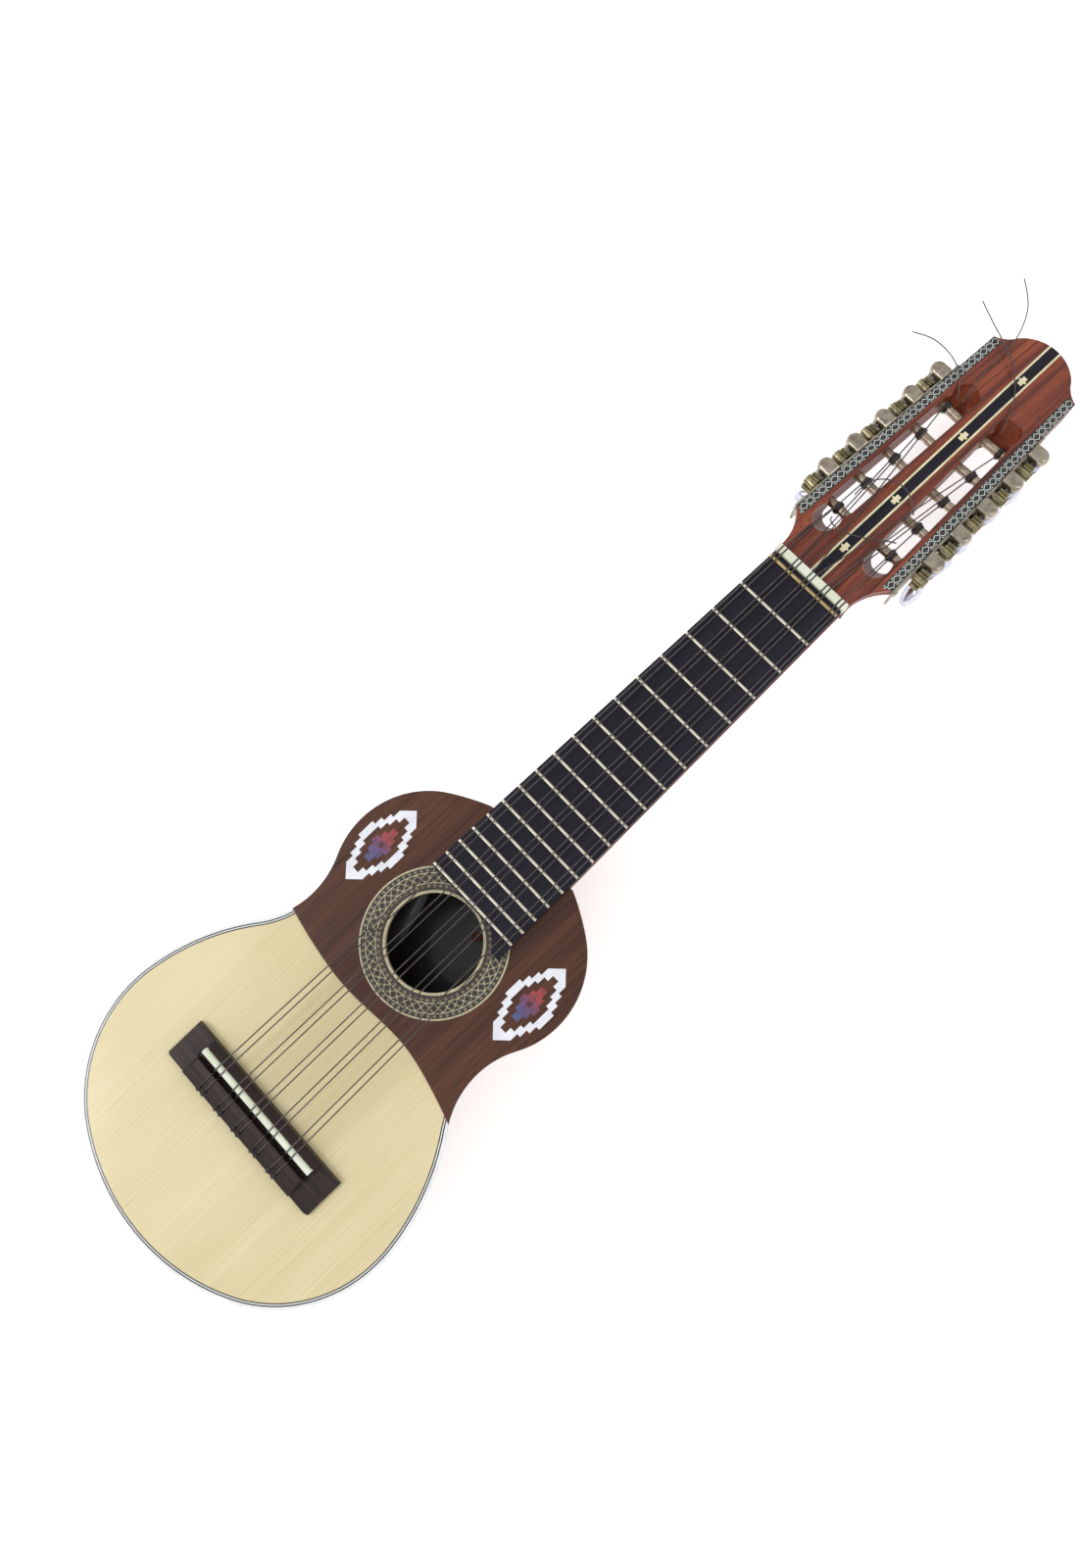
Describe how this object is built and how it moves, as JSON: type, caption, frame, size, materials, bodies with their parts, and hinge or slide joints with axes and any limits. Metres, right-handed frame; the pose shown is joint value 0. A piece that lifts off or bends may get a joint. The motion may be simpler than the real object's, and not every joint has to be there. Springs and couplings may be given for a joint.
{
  "type": "charango",
  "caption": "Small ten-string lute with a carved waisted body, dark upper plate, spruce top, fretted neck and slotted head with geared tuners.",
  "frame": {"origin": "in the flat rest face of the back, on the centre line, 320 mm from the zero fret", "axes": "+X towards the head along the strings, +Y towards the bass side, +Z out of the soundboard"},
  "size_m": [0.6757, 0.19, 0.0827],
  "materials": {
    "body_wood": "satin",
    "neck_wood": "satin",
    "face_wood": "gloss",
    "spruce": "gloss",
    "dark_plate": "gloss",
    "rosewood": "satin",
    "ebony": "satin",
    "mosaic": "gloss",
    "black_lines": "gloss",
    "ivory_plastic": "gloss",
    "white_inlay": "gloss",
    "coloured_inlay": "gloss",
    "cream_inlay": "gloss",
    "zigzag_strip": "gloss",
    "bone": "satin",
    "nickel_silver": "polished",
    "brass_wire": "polished",
    "gear_brass": "worn",
    "roller_steel": "worn",
    "nickel_plate": "worn",
    "key_pearl": "metallised",
    "nylon": "gloss"
  },
  "bodies": {
    "root": {"back_plug": "neck_wood", "bridge": "rosewood", "carved_body": "body_wood", "edge_binding": "ivory_plastic", "edge_purfling": "black_lines", "fingerboard": "ebony", "frets": "nickel_silver", "head_edge_strips": "zigzag_strip", "head_stripe": "ebony", "head_stripe_inlay": "cream_inlay", "head_veneer": "face_wood", "inlay_tiles": "coloured_inlay", "lozenge_frames": "white_inlay", "neck": "neck_wood", "nut": "bone", "plate_screws": "nickel_plate", "rosette": "mosaic", "saddle": "bone", "soundboard": "spruce", "string_tail_1": "nylon", "string_tail_2": "nylon", "string_tail_3": "nylon", "string_tail_4": "nylon", "string_tail_5": "nylon", "strings": "nylon", "top_braces": "spruce", "top_overlay": "dark_plate", "tuner_plate_bass": "nickel_plate", "tuner_plate_treble": "nickel_plate", "zero_fret": "brass_wire"},
    "key_b1": {"key_b1": "key_pearl"},
    "roller_b1": {"roller_b1": "roller_steel", "gear_b1": "gear_brass"},
    "key_b2": {"key_b2": "key_pearl"},
    "roller_b2": {"roller_b2": "roller_steel", "gear_b2": "gear_brass"},
    "key_b3": {"key_b3": "key_pearl"},
    "roller_b3": {"roller_b3": "roller_steel", "gear_b3": "gear_brass"},
    "key_b4": {"key_b4": "key_pearl"},
    "roller_b4": {"roller_b4": "roller_steel", "gear_b4": "gear_brass"},
    "key_b5": {"key_b5": "key_pearl"},
    "roller_b5": {"roller_b5": "roller_steel", "gear_b5": "gear_brass"},
    "key_t1": {"key_t1": "key_pearl"},
    "roller_t1": {"roller_t1": "roller_steel", "gear_t1": "gear_brass"},
    "key_t2": {"key_t2": "key_pearl"},
    "roller_t2": {"roller_t2": "roller_steel", "gear_t2": "gear_brass"},
    "key_t3": {"key_t3": "key_pearl"},
    "roller_t3": {"roller_t3": "roller_steel", "gear_t3": "gear_brass"},
    "key_t4": {"key_t4": "key_pearl"},
    "roller_t4": {"roller_t4": "roller_steel", "gear_t4": "gear_brass"},
    "key_t5": {"key_t5": "key_pearl"},
    "roller_t5": {"roller_t5": "roller_steel", "gear_t5": "gear_brass"}
  },
  "joints": [
    {"name": "key_turn_b1", "type": "hinge", "parent": "root", "child": "key_b1", "pos_m": [0.37702, 0.03772, 0.06193], "axis": [0.1045, 0, 0.9945], "continuous": true},
    {"name": "roller_turn_b1", "type": "hinge", "parent": "root", "child": "roller_b1", "pos_m": [0.36819, 0.03251, 0.06286], "axis": [0.0326, 0.9995, -0.0034], "continuous": true},
    {"name": "key_turn_b2", "type": "hinge", "parent": "root", "child": "key_b2", "pos_m": [0.3979, 0.03703, 0.05973], "axis": [0.1045, 0, 0.9945], "continuous": true},
    {"name": "roller_turn_b2", "type": "hinge", "parent": "root", "child": "roller_b2", "pos_m": [0.38908, 0.03182, 0.06066], "axis": [0.0326, 0.9995, -0.0034], "continuous": true},
    {"name": "key_turn_b3", "type": "hinge", "parent": "root", "child": "key_b3", "pos_m": [0.41879, 0.03635, 0.05754], "axis": [0.1045, 0, 0.9945], "continuous": true},
    {"name": "roller_turn_b3", "type": "hinge", "parent": "root", "child": "roller_b3", "pos_m": [0.40996, 0.03113, 0.05847], "axis": [0.0326, 0.9995, -0.0034], "continuous": true},
    {"name": "key_turn_b4", "type": "hinge", "parent": "root", "child": "key_b4", "pos_m": [0.43967, 0.03566, 0.05534], "axis": [0.1045, 0, 0.9945], "continuous": true},
    {"name": "roller_turn_b4", "type": "hinge", "parent": "root", "child": "roller_b4", "pos_m": [0.43085, 0.03045, 0.05627], "axis": [0.0326, 0.9995, -0.0034], "continuous": true},
    {"name": "key_turn_b5", "type": "hinge", "parent": "root", "child": "key_b5", "pos_m": [0.46056, 0.03497, 0.05315], "axis": [0.1045, 0, 0.9945], "continuous": true},
    {"name": "roller_turn_b5", "type": "hinge", "parent": "root", "child": "roller_b5", "pos_m": [0.45173, 0.02976, 0.05407], "axis": [0.0326, 0.9995, -0.0034], "continuous": true},
    {"name": "key_turn_t1", "type": "hinge", "parent": "root", "child": "key_t1", "pos_m": [0.37702, -0.03772, 0.06193], "axis": [0.1045, 0, 0.9945], "continuous": true},
    {"name": "roller_turn_t1", "type": "hinge", "parent": "root", "child": "roller_t1", "pos_m": [0.36819, -0.03251, 0.06286], "axis": [-0.0326, 0.9995, 0.0034], "continuous": true},
    {"name": "key_turn_t2", "type": "hinge", "parent": "root", "child": "key_t2", "pos_m": [0.3979, -0.03703, 0.05973], "axis": [0.1045, 0, 0.9945], "continuous": true},
    {"name": "roller_turn_t2", "type": "hinge", "parent": "root", "child": "roller_t2", "pos_m": [0.38908, -0.03182, 0.06066], "axis": [-0.0326, 0.9995, 0.0034], "continuous": true},
    {"name": "key_turn_t3", "type": "hinge", "parent": "root", "child": "key_t3", "pos_m": [0.41879, -0.03635, 0.05754], "axis": [0.1045, 0, 0.9945], "continuous": true},
    {"name": "roller_turn_t3", "type": "hinge", "parent": "root", "child": "roller_t3", "pos_m": [0.40996, -0.03113, 0.05847], "axis": [-0.0326, 0.9995, 0.0034], "continuous": true},
    {"name": "key_turn_t4", "type": "hinge", "parent": "root", "child": "key_t4", "pos_m": [0.43967, -0.03566, 0.05534], "axis": [0.1045, 0, 0.9945], "continuous": true},
    {"name": "roller_turn_t4", "type": "hinge", "parent": "root", "child": "roller_t4", "pos_m": [0.43085, -0.03045, 0.05627], "axis": [-0.0326, 0.9995, 0.0034], "continuous": true},
    {"name": "key_turn_t5", "type": "hinge", "parent": "root", "child": "key_t5", "pos_m": [0.46056, -0.03497, 0.05315], "axis": [0.1045, 0, 0.9945], "continuous": true},
    {"name": "roller_turn_t5", "type": "hinge", "parent": "root", "child": "roller_t5", "pos_m": [0.45173, -0.02976, 0.05407], "axis": [-0.0326, 0.9995, 0.0034], "continuous": true}
  ],
  "couplings": [
    {"joint": "roller_turn_b1", "follows": "key_turn_b1", "ratio": 0.071429},
    {"joint": "roller_turn_b2", "follows": "key_turn_b2", "ratio": 0.071429},
    {"joint": "roller_turn_b3", "follows": "key_turn_b3", "ratio": 0.071429},
    {"joint": "roller_turn_b4", "follows": "key_turn_b4", "ratio": 0.071429},
    {"joint": "roller_turn_b5", "follows": "key_turn_b5", "ratio": 0.071429},
    {"joint": "roller_turn_t1", "follows": "key_turn_t1", "ratio": 0.071429},
    {"joint": "roller_turn_t2", "follows": "key_turn_t2", "ratio": 0.071429},
    {"joint": "roller_turn_t3", "follows": "key_turn_t3", "ratio": 0.071429},
    {"joint": "roller_turn_t4", "follows": "key_turn_t4", "ratio": 0.071429},
    {"joint": "roller_turn_t5", "follows": "key_turn_t5", "ratio": 0.071429}
  ]
}
